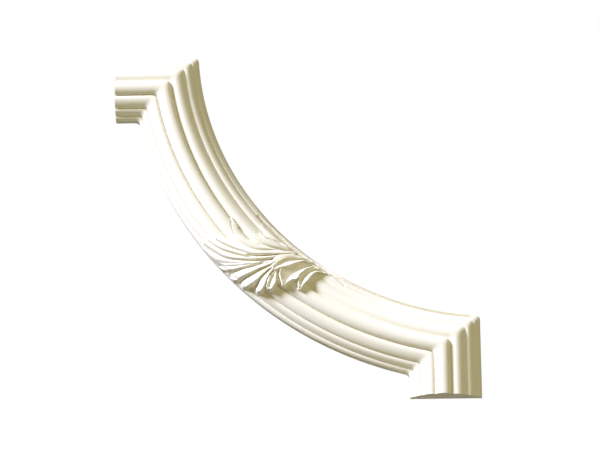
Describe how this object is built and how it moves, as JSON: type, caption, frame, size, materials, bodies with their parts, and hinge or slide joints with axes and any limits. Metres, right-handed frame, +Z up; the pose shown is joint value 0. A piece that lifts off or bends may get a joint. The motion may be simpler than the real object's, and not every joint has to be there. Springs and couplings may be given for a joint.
{
  "type": "moulding corner piece",
  "caption": "Hollow-cornered arc that joins two straight reeded panel mouldings at a right angle, with half an acanthus leaf across its middle.",
  "frame": {"origin": "on the flat back, under the middle of the arc and of its width, on the piece's 45 degree line of symmetry", "axes": "+Y out of the back towards the wall, +Z up, +X to the right seen from the front; the hollow corner opens up and to the right"},
  "size_m": [0.3136, 0.0245, 0.3136],
  "materials": {
    "primed_foam": "matt primer over cast rigid foam, off-white"
  },
  "bodies": {
    "root": {"corner_moulding": "primed_foam"}
  },
  "joints": []
}
